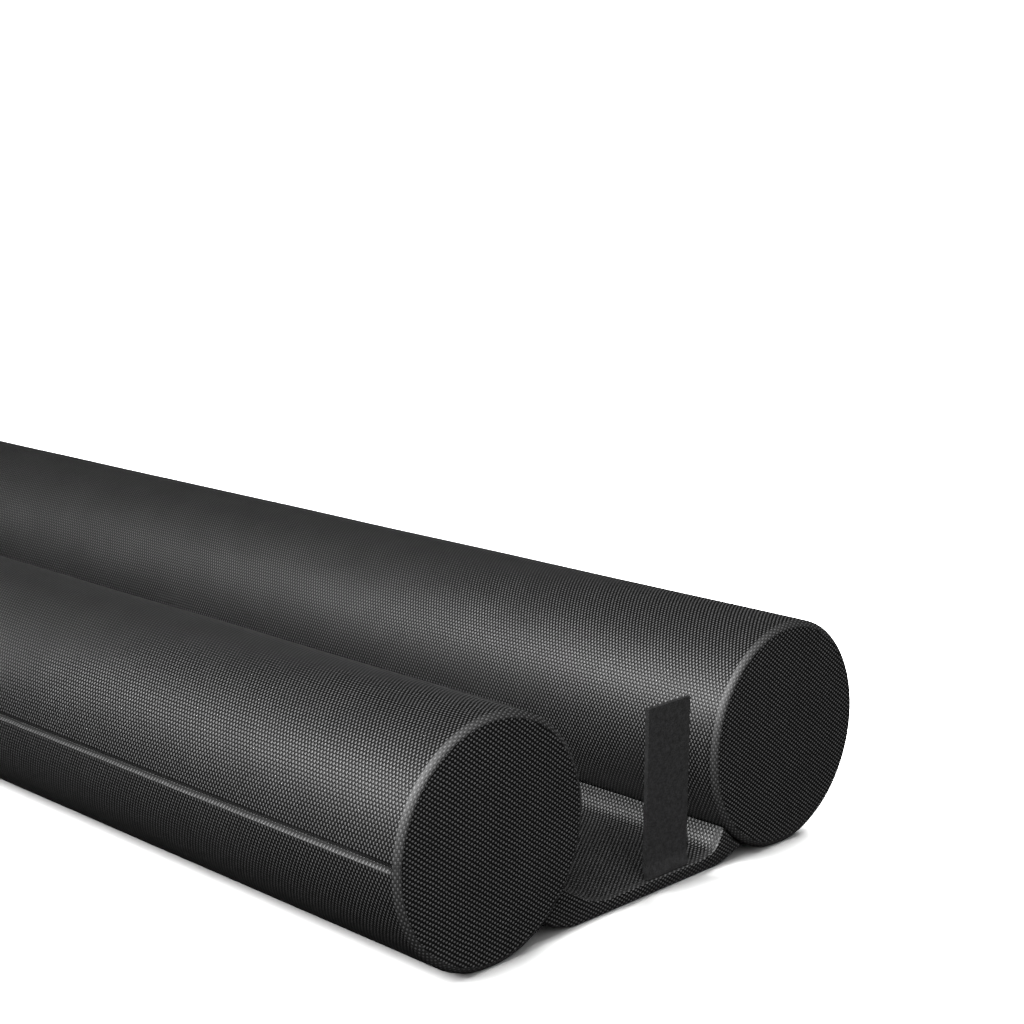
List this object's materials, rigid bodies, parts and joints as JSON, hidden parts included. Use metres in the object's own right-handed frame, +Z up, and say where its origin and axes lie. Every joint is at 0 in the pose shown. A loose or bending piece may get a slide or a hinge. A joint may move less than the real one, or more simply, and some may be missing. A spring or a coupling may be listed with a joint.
{
  "type": "draught excluder",
  "caption": "Door-bottom draught excluder: parallel filled cloth rolls joined by a flat web that slides under the door, with round sewn ends and a hook-and-loop strap up the door's edge.",
  "frame": {"origin": "centre of the overall box, on the floor", "axes": "+X along the rolls to the end with the strap, +Y from the front roll to the back roll, +Z up"},
  "size_m": [0.9, 0.1656, 0.0586],
  "materials": {
    "front_roll_cloth": "charcoal plain weave with a soft sheen",
    "back_roll_cloth": "charcoal plain weave with a soft sheen",
    "front_near_disc_cloth": "charcoal plain weave",
    "front_far_disc_cloth": "charcoal plain weave",
    "back_near_disc_cloth": "charcoal plain weave",
    "back_far_disc_cloth": "charcoal plain weave",
    "web_cloth": "charcoal plain weave",
    "hook_and_loop_tape": "dark matte fuzzy tape"
  },
  "bodies": {
    "root": {"front_roll": "front_roll_cloth", "back_roll": "back_roll_cloth", "front_roll_near_disc": "front_near_disc_cloth", "front_roll_far_disc": "front_far_disc_cloth", "back_roll_near_disc": "back_near_disc_cloth", "back_roll_far_disc": "back_far_disc_cloth", "under_door_web": "web_cloth", "door_edge_strap": "hook_and_loop_tape"}
  },
  "joints": []
}
